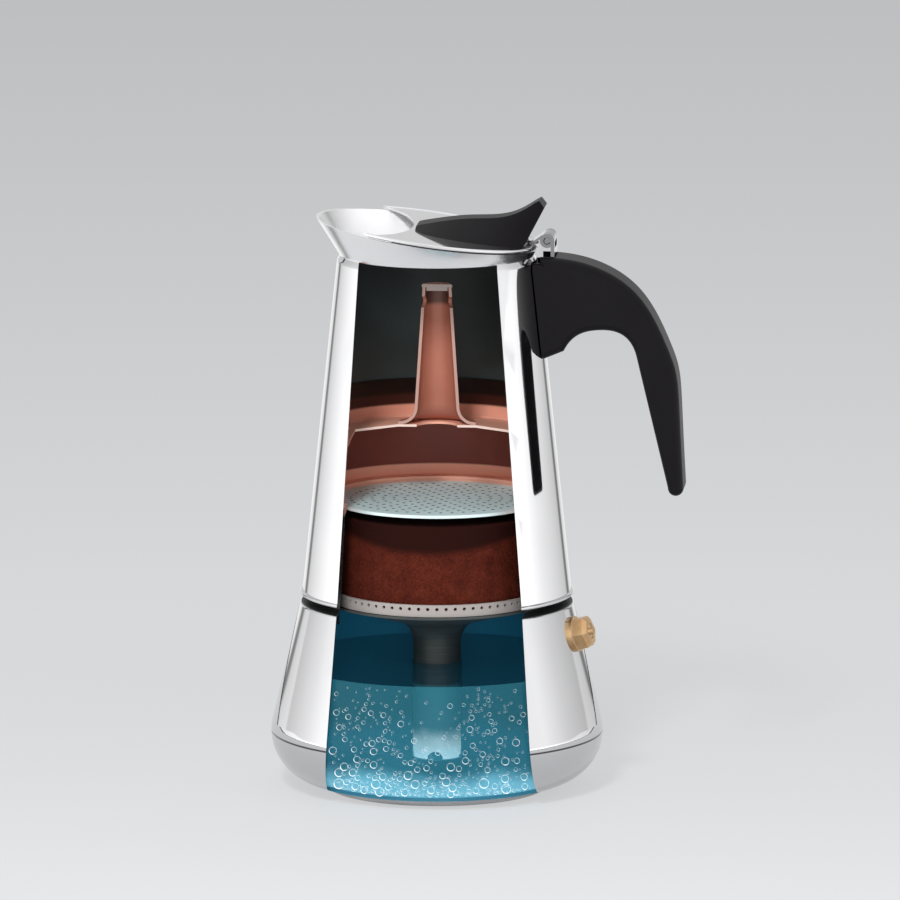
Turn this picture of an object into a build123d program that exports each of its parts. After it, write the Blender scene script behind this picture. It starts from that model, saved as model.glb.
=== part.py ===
"""Stainless steel stovetop moka pot, shown in section.

A window is cut through the front of every wall, so that the column, the sieves, the coffee and the
water show. The pot stands on its base at z = 0 with its axis on Z, the spout towards -X, the handle
towards +X and the window towards -Y. All sizes are in millimetres and all angles in degrees.
"""

import os
from math import atan2, cos, pi, radians, sin, tan

from build123d import *

# Section window in the front half: distances of its sides from the axis, low down and at the crease
window_left_low = 33.8
window_right_low = 36.0
window_left_high = 24.0
window_right_high = 22.0

# Sheet metal and clearances
sheet = 1.0
thin_sheet = 0.8
fit_gap = 0.3
running_gap = 0.06
seam_gap = 0.1
cut_overshoot = 8.0

# Boiler neck and its rolled thread, from which the other radii step out
neck_radius = 38.0
neck_wall = 1.4
neck_rise = 31.3
neck_weld = 4.0
thread_pitch = 4.0
thread_turns = 2
thread_depth = 0.9
thread_root_width = 1.7
thread_crest_width = 0.9
thread_root_sink = 0.4
thread_drop = 15.0

# Boiler
base_thickness = 2.0
base_margin = 1.0
boiler_height = 61.0
shoulder_step = 7.5
foot_spread = 14.5
belly_fillet = 17.0
shoulder_fillet = 1.2

# Funnel, its sieve and the coffee
basket_depth = 31.8
funnel_cone_drop = 7.5
stem_radius = 8.0
stem_floor_gap = 7.0
stem_notch_radius = 2.6
stem_bend = 8.0
sieve_thickness = 1.2
sieve_rim_height = 4.0
sieve_rim_width = 1.0
sieve_hole_radius = 0.55
sieve_rim_holes = 72
sieve_rim_hole_rise = 2.6
sieve_ring_step = 4.0
hole_margin = 1.2
holes_per_ring_step = 6
coffee_margin = 0.8
coffee_headroom = 1.0

# Water, filled to this far below the safety valve's middle
water_drop = 11.5

# Gasket and filter plate
gasket_height = 3.0
gasket_overhang = 0.4
gasket_width = 6.4
gasket_ledge_height = 1.2
gasket_ledge_width = 2.6
plate_thickness = 1.0
plate_hole_radius = 0.6
plate_ring_step = 3.6

# Upper vessel: a cone from its bottom bead to the crease under the collar
vessel_gap = 2.5
vessel_step = 7.0
vessel_taper = 11.8
vessel_height = 114.0
crease_drop = 1.6
crease_inset = 1.0
crease_fillet = 2.0
bead_radius = 0.7

# Ring with the inside thread
ring_wall = 1.3
ring_bottom_lift = 8.2
ring_top_drop = 2.0

# Collector: the vessel's floor with its skirt and gasket seat
collector_skirt = 20.2
collector_floor_rise = 3.0
collector_flange = 14.0
collector_fillet = 3.0
seat_width = 6.0

# Column
column_height = 46.3
column_foot_radius = 13.0
column_base_radius = 7.8
column_top_radius = 4.8
column_foot_fillet = 5.0
outlet_radius = 1.9
outlet_drop = 5.0
cap_thickness = 1.0
cap_spigot = 1.2
cap_overhang = 0.3

# Flared collar with the spout: each section rises towards the spout from its height at the handle's side
flare_out = 2.3
flare_rear_rise = 1.3
flare_offset = 1.4
flare_slope = 3.8
rim_out = 5.25
rim_rear_rise = 2.4
rim_offset = 3.1
rim_slope = 8.0

# Lid, which lies on the rim with a rolled edge and leaves a pouring mouth open at the spout
lid_thickness = 0.8
lid_bead_radius = 0.6
mouth_centre = 20.5
mouth_half_length = 15.5
mouth_half_width = 33.0

# Lid grip: setback of each cross-section from the hinge pin, its height and its half widths at foot and top
grip_sections = (
    (43.8, 1.0, 8.0, 5.6),
    (41.4, 2.0, 13.5, 5.6),
    (36.0, 3.7, 16.8, 5.2),
    (27.0, 6.0, 18.2, 4.8),
    (17.0, 7.9, 17.0, 4.8),
    (9.0, 11.9, 13.0, 5.0),
    (2.0, 16.6, 9.5, 5.2),
)
grip_edge_fillet = 0.8
grip_heel_setback = 7.3
grip_back_setback = 2.5
grip_back_height = 13.4
grip_thumb_setback = 4.4
grip_thumb_height = 15.4
grip_screw_radius = 1.25
grip_screw_head_radius = 2.4
grip_screw_head_height = 1.4
grip_screw_depth = 3.4
grip_screw_pitch = 9.0
grip_screw_setback = 28.0

# Hinge
pin_radius = 1.2
pin_overhang = 0.6
pin_standoff = 3.2
pin_rise = 5.9
knuckle_radius = 2.4
leaf_half_width = 4.0
leaf_reach = 13.0
leaf_setback = 7.2
ear_width = 2.2

# Bracket welded to the vessel, with depths below the crease
bracket_sheet = 1.2
bracket_half_width = 6.0
bracket_foot_top = 11.5
bracket_foot_bottom = 28.5
tongue_top = 15.5
tongue_bottom = 22.5
tongue_reach = 9.0

# Handle, with reaches from the bracket's strap and depths below the handle's top
handle_rise = 0.5
handle_half_width = 9.0
handle_edge_fillet = 2.4
handle_root_sink = 6.0
handle_collar_gap = 0.9
handle_crown_reach = 10.0
handle_crown_depth = 1.8
handle_shoulder_reach = 28.4
handle_shoulder_depth = 13.0
handle_knee_reach = 37.4
handle_knee_depth = 29.0
handle_tail_reach = 43.2
handle_tail_depth = 79.6
handle_tail_width = 5.2
handle_palm_reach = 27.4
handle_palm_depth = 33.0
handle_arch_reach = 14.4
handle_arch_depth = 24.3
handle_heel_reach = 3.2
handle_heel_depth = 31.4
handle_foot_depth = 36.3
handle_root_aim = (1, 0)
handle_tail_aim = (0.06, -1)
handle_palm_aim = (-0.25, 1)
handle_heel_aim = (-0.5, -1)
handle_screw_reach = 4.4
handle_screw_radius = 1.6
handle_screw_head_radius = 2.7
handle_screw_head_height = 1.8
handle_screw_seat = 1.4
screw_slot_width = 0.9
screw_slot_depth = 0.8

# Safety valve, set square to the boiler's sloping wall
valve_azimuth = -15.0
valve_drop = 9.0
valve_hole_gap = 0.15
valve_shank_radius = 4.0
valve_shank_length = 5.4
valve_flange_radius = 5.9
valve_flange_thickness = 1.3
valve_hex_across_flats = 10.0
valve_hex_length = 4.7
valve_hex_chamfer = 1.2
valve_bore_radius = 2.9
valve_seat_radius = 1.5
valve_seat_thickness = 1.8
washer_thickness = 1.0
nut_across_flats = 11.5
nut_thickness = 2.6
nut_standoff = 0.6
valve_cap_thickness = 1.4
valve_cap_recess = 0.8
plunger_disc_thickness = 1.2
plunger_stem_radius = 1.3
plunger_reach = 1.0
spring_wire_radius = 0.28
spring_turns = 6

# Heights and radii that several pieces share
floor_top = base_thickness + sheet
shoulder_height = base_thickness + boiler_height
shoulder_radius = neck_radius + shoulder_step
foot_radius = shoulder_radius + foot_spread
boiler_slope = atan2(foot_spread, boiler_height)
boiler_flat_radius = foot_radius - belly_fillet / tan((pi / 2 - boiler_slope) / 2)
neck_bore = neck_radius - neck_wall
neck_top = shoulder_height + neck_rise
thread_length = thread_turns * thread_pitch
basket_radius = neck_bore - fit_gap
basket_bore = basket_radius - thin_sheet
basket_floor = neck_top - basket_depth
stem_bottom = floor_top + stem_floor_gap
sieve_radius = basket_bore - fit_gap
sieve_bottom = basket_floor + thin_sheet
sieve_top = sieve_bottom + sieve_thickness
seal_bottom = neck_top + thin_sheet
seat_height = seal_bottom + gasket_height
gasket_radius = neck_radius + gasket_overhang
gasket_bore = gasket_radius - gasket_width
plate_radius = gasket_bore + gasket_ledge_width - fit_gap / 2
plate_bottom = seal_bottom + gasket_ledge_height
vessel_bottom = shoulder_height + vessel_gap
vessel_radius = neck_radius + vessel_step
crease_height = vessel_bottom + vessel_height
crease_radius = vessel_radius - vessel_taper - crease_inset
cone_top = crease_height - crease_drop
vessel_slope = atan2(vessel_taper, cone_top - vessel_bottom)
seam_inset = sheet + seam_gap
ring_bore = neck_radius + thread_depth + fit_gap
ring_bottom = vessel_bottom + ring_bottom_lift
ring_top = neck_top - ring_top_drop
collector_floor = seat_height + collector_skirt
floor_centre = collector_floor + collector_floor_rise
skirt_top = collector_floor + collector_fillet
column_bottom = floor_centre + thin_sheet
column_top = column_bottom + column_height
flare_radius = crease_radius + flare_out
rim_radius = crease_radius + rim_out
rim_rear = (rim_radius * cos(radians(rim_slope))) - rim_offset
lid_radius = rim_radius - lid_bead_radius
lid_bottom = fit_gap
lid_top = lid_bottom + lid_thickness
pin_x = rim_rear + pin_standoff
pin_z = crease_height + pin_rise
ear_inside = leaf_half_width + fit_gap
ear_outside = ear_inside + ear_width
strap_outer = pin_x + knuckle_radius
strap_inner = strap_outer - bracket_sheet
handle_top = crease_height + handle_rise
handle_screw_x = strap_outer + handle_screw_reach
screw_seat_height = crease_height - tongue_bottom - fit_gap - handle_screw_seat


def cut_window():
    """Cut the section window through the front half of the part that is open."""
    extrude(window_outline.sketch, amount=foot_radius, dir=(0, -1, 0), mode=Mode.SUBTRACT)


def boiler_side(height, inset=0.0):
    """Radius of the boiler's straight side at this height, moved inwards by the inset."""
    return foot_radius - (height - base_thickness) * tan(boiler_slope) - inset / cos(boiler_slope)


def vessel_side(height, inset=0.0):
    """Radius of the vessel's cone at this height, moved inwards by the inset."""
    return vessel_radius - (height - vessel_bottom) * tan(vessel_slope) - inset / cos(vessel_slope)


def rings_of_holes(plate_edge, hole_radius, step):
    """Concentric rings of holes that stay inside the edge, cut from the sketch that is open."""
    rings = int((plate_edge - hole_margin - hole_radius) / step)
    Circle(hole_radius, mode=Mode.SUBTRACT)
    for ring in range(1, rings + 1):
        with PolarLocations(ring * step, holes_per_ring_step * ring):
            Circle(hole_radius, mode=Mode.SUBTRACT)


def collar_plane(radius, rear_rise, shift, slope):
    """Plane of a round collar section, shifted towards the spout and rising towards it."""
    angle = radians(slope)
    return Plane(
        origin=(-shift, 0, crease_height + rear_rise + radius * sin(angle)),
        x_dir=(cos(angle), 0, -sin(angle)),
        z_dir=(sin(angle), 0, cos(angle)),
    )


def handle_point(reach, depth):
    """Point of the handle's side outline, from its reach and depth."""
    return (strap_outer + reach, handle_top - depth)


valve_angle = radians(valve_azimuth)
valve_height = shoulder_height - valve_drop
valve_outwards = Vector(cos(valve_angle), sin(valve_angle), 0)
valve_plane = Plane(
    origin=valve_outwards * boiler_side(valve_height) + Vector(0, 0, valve_height),
    x_dir=(-sin(valve_angle), cos(valve_angle), 0),
    z_dir=valve_outwards * cos(boiler_slope) + Vector(0, 0, sin(boiler_slope)),
)

# Outline of the section window, seen from the front
with BuildSketch(Plane.XZ) as window_outline:
    with BuildLine():
        Polyline(
            (-window_left_low, floor_top),
            (window_right_low, floor_top),
            (window_right_high, crease_height),
            (-window_left_high, crease_height),
            close=True,
        )
    make_face()

# Boiler shell: one drawn sheet, open at the window, with a whole bottom and the valve's hole
with BuildPart() as boiler_shell:
    with BuildSketch(Plane.XZ):
        with BuildLine():
            FilletPolyline(
                (boiler_flat_radius / 2, base_thickness),
                (foot_radius, base_thickness),
                (shoulder_radius, shoulder_height),
                (neck_radius, shoulder_height),
                radius=[belly_fillet, shoulder_fillet],
            )
            offset(amount=sheet, side=Side.LEFT)
        make_face()
    revolve(axis=Axis.Z)
    cut_window()
    with BuildSketch(Plane.XY.offset(base_thickness)):
        Circle(boiler_flat_radius)
    extrude(amount=sheet)
    with BuildSketch(valve_plane):
        Circle(valve_shank_radius + valve_hole_gap)
    extrude(amount=valve_shank_length, both=True, mode=Mode.SUBTRACT)

# Base plate under the boiler, on which the pot stands
with BuildPart() as base_plate:
    with BuildSketch():
        Circle(boiler_flat_radius - base_margin)
    extrude(amount=base_thickness)
    chamfer(base_plate.edges().group_by(Axis.Z)[0], length=base_thickness / 4)

# Boiler neck with its outside thread, welded into the shoulder
with BuildPart() as boiler_neck:
    with BuildSketch(Plane.XZ):
        with BuildLine():
            Polyline(
                (neck_bore, shoulder_height - sheet - neck_weld),
                (neck_radius, shoulder_height - sheet - neck_weld),
                (neck_radius, neck_top),
                (neck_bore, neck_top),
                close=True,
            )
        make_face()
    revolve(axis=Axis.Z)
    with BuildLine() as neck_helix:
        Helix(
            pitch=thread_pitch,
            height=thread_length,
            radius=neck_radius,
            center=(0, 0, neck_top - thread_drop),
        )
    with BuildSketch(Plane.XZ):
        with Locations((neck_radius, neck_top - thread_drop)):
            Polygon(
                (-thread_root_sink, -thread_root_width / 2),
                (thread_depth, -thread_crest_width / 2),
                (thread_depth, thread_crest_width / 2),
                (-thread_root_sink, thread_root_width / 2),
                align=None,
            )
    sweep(path=neck_helix.line, is_frenet=True)
    cut_window()

# Funnel: the basket wall is open at the window, the cone and the notched stem are whole
with BuildPart() as funnel:
    with BuildSketch(Plane.XZ):
        with BuildLine():
            Polyline(
                (neck_radius, neck_top),
                (basket_radius, neck_top),
                (basket_radius, basket_floor),
            )
            offset(amount=thin_sheet, side=Side.RIGHT)
        make_face()
    revolve(axis=Axis.Z)
    cut_window()
    with BuildSketch(Plane.XZ):
        with BuildLine():
            FilletPolyline(
                (basket_radius, basket_floor),
                (stem_radius, basket_floor - funnel_cone_drop),
                (stem_radius, stem_bottom),
                radius=stem_bend,
            )
            offset(amount=thin_sheet, side=Side.RIGHT)
        make_face()
    revolve(axis=Axis.Z)
    for side_plane in (Plane.XZ, Plane.YZ):
        with BuildSketch(side_plane):
            with Locations((0, stem_bottom)):
                Circle(stem_notch_radius)
        extrude(amount=2 * stem_radius, both=True, mode=Mode.SUBTRACT)

# Sieve at the bottom of the basket, with a turned-up rim that has a row of holes
with BuildPart() as funnel_sieve:
    with BuildSketch(Plane.XY.offset(sieve_bottom)):
        Circle(sieve_radius)
        rings_of_holes(sieve_radius - sieve_rim_width, sieve_hole_radius, sieve_ring_step)
    extrude(amount=sieve_thickness)
    with BuildSketch(Plane.XY.offset(sieve_bottom)):
        Circle(sieve_radius)
        Circle(sieve_radius - sieve_rim_width, mode=Mode.SUBTRACT)
    extrude(amount=sieve_rim_height)
    with PolarLocations(sieve_radius, sieve_rim_holes):
        with Locations((0, 0, sieve_bottom + sieve_rim_hole_rise)):
            Cylinder(sieve_hole_radius, 4 * sieve_rim_width, rotation=(0, 90, 0), mode=Mode.SUBTRACT)

# Ground coffee in the basket
with BuildPart() as coffee_bed:
    with BuildSketch(Plane.XY.offset(sieve_top)):
        Circle(sieve_radius - sieve_rim_width - coffee_margin)
    extrude(amount=neck_top - coffee_headroom - sieve_top)
    fillet(coffee_bed.edges().group_by(Axis.Z)[-1], radius=coffee_headroom)

# Water round the funnel's stem
with BuildPart() as water_fill:
    with BuildSketch(Plane.XZ):
        with BuildLine():
            water_inset = sheet + fit_gap
            water_bottom = base_thickness + water_inset
            water_top = valve_height - water_drop
            FilletPolyline(
                (0, water_bottom),
                (boiler_side(water_bottom, water_inset), water_bottom),
                (boiler_side(water_top, water_inset), water_top),
                radius=belly_fillet - water_inset,
            )
            Polyline(
                (boiler_side(water_top, water_inset), water_top),
                (stem_radius + fit_gap, water_top),
                (stem_radius + fit_gap, stem_bottom - fit_gap),
                (0, stem_bottom - fit_gap),
                (0, water_bottom),
            )
        make_face()
    revolve(axis=Axis.Z)

# Gasket with its ledge for the filter plate
with BuildPart() as gasket:
    with BuildSketch(Plane.XZ):
        with BuildLine():
            Polyline(
                (gasket_bore, seal_bottom),
                (gasket_radius, seal_bottom),
                (gasket_radius, seat_height),
                (gasket_bore + gasket_ledge_width, seat_height),
                (gasket_bore + gasket_ledge_width, plate_bottom),
                (gasket_bore, plate_bottom),
                close=True,
            )
        make_face()
    revolve(axis=Axis.Z)
    cut_window()

# Filter plate above the coffee
with BuildPart() as filter_plate:
    with BuildSketch(Plane.XY.offset(plate_bottom)):
        Circle(plate_radius)
        rings_of_holes(gasket_bore, plate_hole_radius, plate_ring_step)
    extrude(amount=plate_thickness)

# Vessel shell with its rolled bottom bead, open at the window
with BuildPart() as vessel_shell:
    with BuildSketch(Plane.XZ):
        with BuildLine():
            FilletPolyline(
                (vessel_radius, vessel_bottom),
                (vessel_side(cone_top), cone_top),
                (crease_radius, crease_height),
                radius=crease_fillet,
            )
            offset(amount=sheet, side=Side.LEFT)
        make_face()
        with Locations((vessel_radius, vessel_bottom + bead_radius)):
            Circle(bead_radius)
    revolve(axis=Axis.Z)
    cut_window()

# Ring with the inside thread, flanged out to the vessel's wall
with BuildPart() as thread_ring:
    with BuildSketch(Plane.XZ):
        with BuildLine():
            Polyline(
                (ring_bore, ring_bottom),
                (vessel_side(ring_bottom, seam_inset), ring_bottom),
                (vessel_side(ring_bottom + ring_wall, seam_inset), ring_bottom + ring_wall),
                (ring_bore + ring_wall, ring_bottom + ring_wall),
                (ring_bore + ring_wall, ring_top - ring_wall),
                (vessel_side(ring_top - ring_wall, seam_inset), ring_top - ring_wall),
                (vessel_side(ring_top, seam_inset), ring_top),
                (ring_bore, ring_top),
                close=True,
            )
        make_face()
    revolve(axis=Axis.Z)
    with BuildLine() as ring_helix:
        Helix(
            pitch=thread_pitch,
            height=thread_length,
            radius=ring_bore,
            center=(0, 0, neck_top - thread_drop - thread_pitch / 2),
        )
    with BuildSketch(Plane.XZ):
        with Locations((ring_bore, neck_top - thread_drop - thread_pitch / 2)):
            Polygon(
                (thread_root_sink, -thread_root_width / 2),
                (thread_root_sink, thread_root_width / 2),
                (-thread_depth, thread_crest_width / 2),
                (-thread_depth, -thread_crest_width / 2),
                align=None,
            )
    sweep(path=ring_helix.line, is_frenet=True)
    cut_window()

# Collector: a dished floor with an up-turned flange, a skirt and the gasket's seat
with BuildPart() as collector:
    with BuildSketch(Plane.XZ):
        with BuildLine():
            FilletPolyline(
                (column_base_radius - sheet, floor_centre),
                (column_foot_radius, floor_centre),
                (vessel_side(collector_floor, seam_inset) - collector_fillet, collector_floor),
                (vessel_side(collector_floor, seam_inset), collector_floor),
                (
                    vessel_side(collector_floor + collector_flange, seam_inset),
                    collector_floor + collector_flange,
                ),
                radius=[collector_fillet, collector_fillet, collector_fillet / 2],
            )
            offset(amount=thin_sheet, side=Side.LEFT)
        make_face()
        with BuildLine():
            Polyline(
                (vessel_side(skirt_top, seam_inset), skirt_top),
                (vessel_side(seat_height, seam_inset), seat_height),
                (vessel_side(seat_height, seam_inset) - seat_width, seat_height),
            )
            offset(amount=thin_sheet, side=Side.RIGHT)
        make_face()
    revolve(axis=Axis.Z)
    cut_window()

# Column: a tapered tube with a flared foot and two side outlets
with BuildPart() as column:
    with BuildSketch(Plane.XZ):
        with BuildLine():
            FilletPolyline(
                (column_foot_radius, column_bottom + sheet),
                (column_base_radius, column_bottom + sheet),
                (column_top_radius, column_top),
                radius=column_foot_fillet,
            )
            offset(amount=sheet, side=Side.LEFT)
        make_face()
    revolve(axis=Axis.Z)
    cut_window()
    with BuildSketch(Plane.YZ):
        with Locations((0, column_top - outlet_drop)):
            Circle(outlet_radius)
    extrude(amount=column_base_radius, both=True, mode=Mode.SUBTRACT)

# Cap on top of the column
with BuildPart() as column_cap:
    with BuildSketch(Plane.XY.offset(column_top)):
        Circle(column_top_radius + cap_overhang)
    extrude(amount=cap_thickness)
    fillet(column_cap.edges().group_by(Axis.Z)[-1], radius=cap_thickness / 2)
    with BuildSketch(Plane.XY.offset(column_top)):
        Circle(column_top_radius - sheet - fit_gap)
    extrude(amount=-cap_spigot)
    cut_window()

# Flared collar, lofted from the crease to the sloping rim
collar_sections = (
    (collar_plane(crease_radius, 0, 0, 0), crease_radius),
    (collar_plane(flare_radius, flare_rear_rise, flare_offset, flare_slope), flare_radius),
    (collar_plane(rim_radius, rim_rear_rise, rim_offset, rim_slope), rim_radius),
)
with BuildPart() as spout_collar:
    for section_plane, section_radius in collar_sections:
        with BuildSketch(section_plane):
            Circle(section_radius)
    loft()
    for section_plane, section_radius in collar_sections:
        with BuildSketch(section_plane):
            Circle(section_radius - sheet)
    loft(mode=Mode.SUBTRACT)

# Lid frames: one lies in the rim's plane, the other stands up along the pot's middle
rim_plane = collar_plane(rim_radius, rim_rear_rise, rim_offset, rim_slope)
lid_side_plane = Plane(origin=rim_plane.origin, x_dir=rim_plane.x_dir, z_dir=(0, -1, 0))
pin_in_lid = rim_plane.to_local_coords(Vector(pin_x, 0, pin_z))
leaf_bend = pin_in_lid.X - leaf_setback
grip_screw_x = pin_in_lid.X - grip_screw_setback

# Lid plate: a disc with a rolled edge on the rim, cut out for the mouth, the hinge and the grip's screws
with BuildPart() as lid_plate:
    with BuildSketch(lid_side_plane):
        with Locations((0, lid_bottom)):
            Rectangle(lid_radius, lid_thickness, align=(Align.MIN, Align.MIN))
        with Locations((lid_radius, lid_bottom + lid_bead_radius)):
            Circle(lid_bead_radius)
    revolve(axis=Axis(rim_plane.origin, rim_plane.z_dir))
    with BuildSketch(rim_plane.offset(lid_bottom)):
        with Locations((-mouth_centre, 0)):
            Ellipse(mouth_half_length, mouth_half_width)
        with Locations((-mouth_centre - mouth_half_length, 0)):
            Rectangle(2 * mouth_half_length, 2 * rim_radius)
        with Locations((lid_radius, 0)):
            Rectangle(2 * (lid_radius - leaf_bend + fit_gap), 2 * (ear_outside + fit_gap))
        with Locations((grip_screw_x, 0)):
            with GridLocations(grip_screw_pitch, 1, 2, 1):
                Circle(grip_screw_radius)
    extrude(amount=2 * lid_bead_radius, mode=Mode.SUBTRACT)

# Lid leaf: a strip under the lid that rises to a knuckle round the pin
with BuildPart() as lid_hinge_leaf:
    with BuildSketch(lid_side_plane):
        with BuildLine():
            rise_angle = atan2(pin_in_lid.Z + knuckle_radius - lid_bottom, leaf_setback)
            Polyline(
                (leaf_bend - leaf_reach, lid_bottom),
                (leaf_bend, lid_bottom),
                (
                    pin_in_lid.X - knuckle_radius * sin(rise_angle),
                    pin_in_lid.Z + knuckle_radius * cos(rise_angle),
                ),
            )
            offset(amount=thin_sheet, side=Side.RIGHT)
        make_face()
        with Locations((pin_in_lid.X, pin_in_lid.Z)):
            Circle(knuckle_radius)
            Circle(pin_radius + running_gap, mode=Mode.SUBTRACT)
    extrude(amount=leaf_half_width, both=True)

# Lid grip: a leaf-shaped black grip with sloping flanks that rises to a thumb tab over the hinge
with BuildPart() as lid_grip:
    for setback, height, foot_half_width, top_half_width in grip_sections:
        section_origin = rim_plane.from_local_coords((pin_in_lid.X - setback, 0, lid_top))
        with BuildSketch(Plane(origin=section_origin, x_dir=(0, 1, 0), z_dir=rim_plane.x_dir)):
            with BuildLine():
                Polyline(
                    (-foot_half_width, 0),
                    (foot_half_width, 0),
                    (top_half_width, height),
                    (-top_half_width, height),
                    close=True,
                )
            make_face()
    loft()
    fillet(lid_grip.faces().sort_by(Axis.Z)[-1].edges().sort_by(SortBy.LENGTH)[-2:], radius=grip_edge_fillet)
    with BuildSketch(lid_side_plane):
        with BuildLine():
            grip_thumb_x = pin_in_lid.X - grip_thumb_setback
            Polyline(
                (pin_in_lid.X - grip_heel_setback, lid_top),
                (pin_in_lid.X - grip_back_setback, lid_top + grip_back_height),
                (grip_thumb_x, lid_top + grip_thumb_height),
                (grip_thumb_x, lid_top + 2 * grip_thumb_height),
                (pin_in_lid.X, lid_top + 2 * grip_thumb_height),
                (pin_in_lid.X, lid_top),
                close=True,
            )
        make_face()
    extrude(amount=rim_radius, both=True, mode=Mode.SUBTRACT)
    with BuildSketch(rim_plane.offset(lid_top)):
        with Locations((grip_screw_x, 0)):
            with GridLocations(grip_screw_pitch, 1, 2, 1):
                Circle(grip_screw_radius)
    extrude(amount=grip_screw_depth, mode=Mode.SUBTRACT)

# Two screws that hold the grip from under the lid
with BuildPart() as grip_screws:
    with BuildSketch(rim_plane.offset(lid_bottom - grip_screw_head_height)):
        with Locations((grip_screw_x, 0)):
            with GridLocations(grip_screw_pitch, 1, 2, 1):
                Circle(grip_screw_head_radius)
    extrude(amount=grip_screw_head_height)
    with BuildSketch(rim_plane.offset(lid_bottom)):
        with Locations((grip_screw_x, 0)):
            with GridLocations(grip_screw_pitch, 1, 2, 1):
                Circle(grip_screw_radius)
    extrude(amount=lid_thickness + grip_screw_depth)
    with BuildSketch(rim_plane.offset(lid_bottom - grip_screw_head_height)):
        with Locations((grip_screw_x, 0)):
            with GridLocations(grip_screw_pitch, 1, 2, 1):
                Rectangle(2 * grip_screw_head_radius, screw_slot_width)
    extrude(amount=screw_slot_depth, mode=Mode.SUBTRACT)

# Hinge pin through the ears and the knuckle
with BuildPart() as hinge_pin:
    with BuildSketch(Plane.XZ):
        with Locations((pin_x, pin_z)):
            Circle(pin_radius)
    extrude(amount=ear_outside + pin_overhang, both=True)
    chamfer(hinge_pin.edges(), length=pin_radius / 4)

# Bracket: the hinge ears on a strap, a foot welded to the cone and a tongue for the handle's screw
with BuildPart() as hinge_bracket:
    with BuildSketch(Plane.XZ):
        with Locations((pin_x, pin_z)):
            Circle(knuckle_radius)
        with BuildLine():
            Polyline(
                (strap_inner, handle_top + fit_gap),
                (strap_outer, handle_top + fit_gap),
                (strap_outer, pin_z),
                (strap_inner, pin_z),
                close=True,
            )
        make_face()
        with Locations((pin_x, pin_z)):
            Circle(pin_radius, mode=Mode.SUBTRACT)
    extrude(amount=ear_outside, both=True)
    with BuildSketch(Plane.XZ):
        with Locations((pin_x, pin_z)):
            Rectangle(4 * knuckle_radius, 2 * (knuckle_radius + fit_gap))
    extrude(amount=ear_inside, both=True, mode=Mode.SUBTRACT)
    with BuildSketch(Plane.XZ):
        with BuildLine():
            Polyline(
                (0, crease_height - bracket_foot_bottom),
                (strap_outer, crease_height - bracket_foot_bottom),
                (strap_outer, crease_height - tongue_bottom),
                (strap_outer + tongue_reach, crease_height - tongue_bottom),
                (strap_outer + tongue_reach, crease_height - tongue_top),
                (strap_outer, crease_height - tongue_top),
                (strap_outer, handle_top + fit_gap),
                (strap_inner, handle_top + fit_gap),
                (strap_inner, crease_height - bracket_foot_top),
                (0, crease_height - bracket_foot_top),
                close=True,
            )
        make_face()
    extrude(amount=bracket_half_width, both=True)
    with BuildSketch(Plane.XZ):
        with BuildLine():
            Polyline(
                (0, vessel_bottom),
                (vessel_radius, vessel_bottom),
                (vessel_side(cone_top), cone_top),
                (0, cone_top),
                close=True,
            )
        make_face()
    revolve(axis=Axis.Z, mode=Mode.SUBTRACT)
    with BuildSketch(Plane.XY.offset(crease_height - tongue_bottom)):
        with Locations((handle_screw_x, 0)):
            Circle(handle_screw_radius)
    extrude(amount=tongue_bottom - tongue_top, mode=Mode.SUBTRACT)

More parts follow.
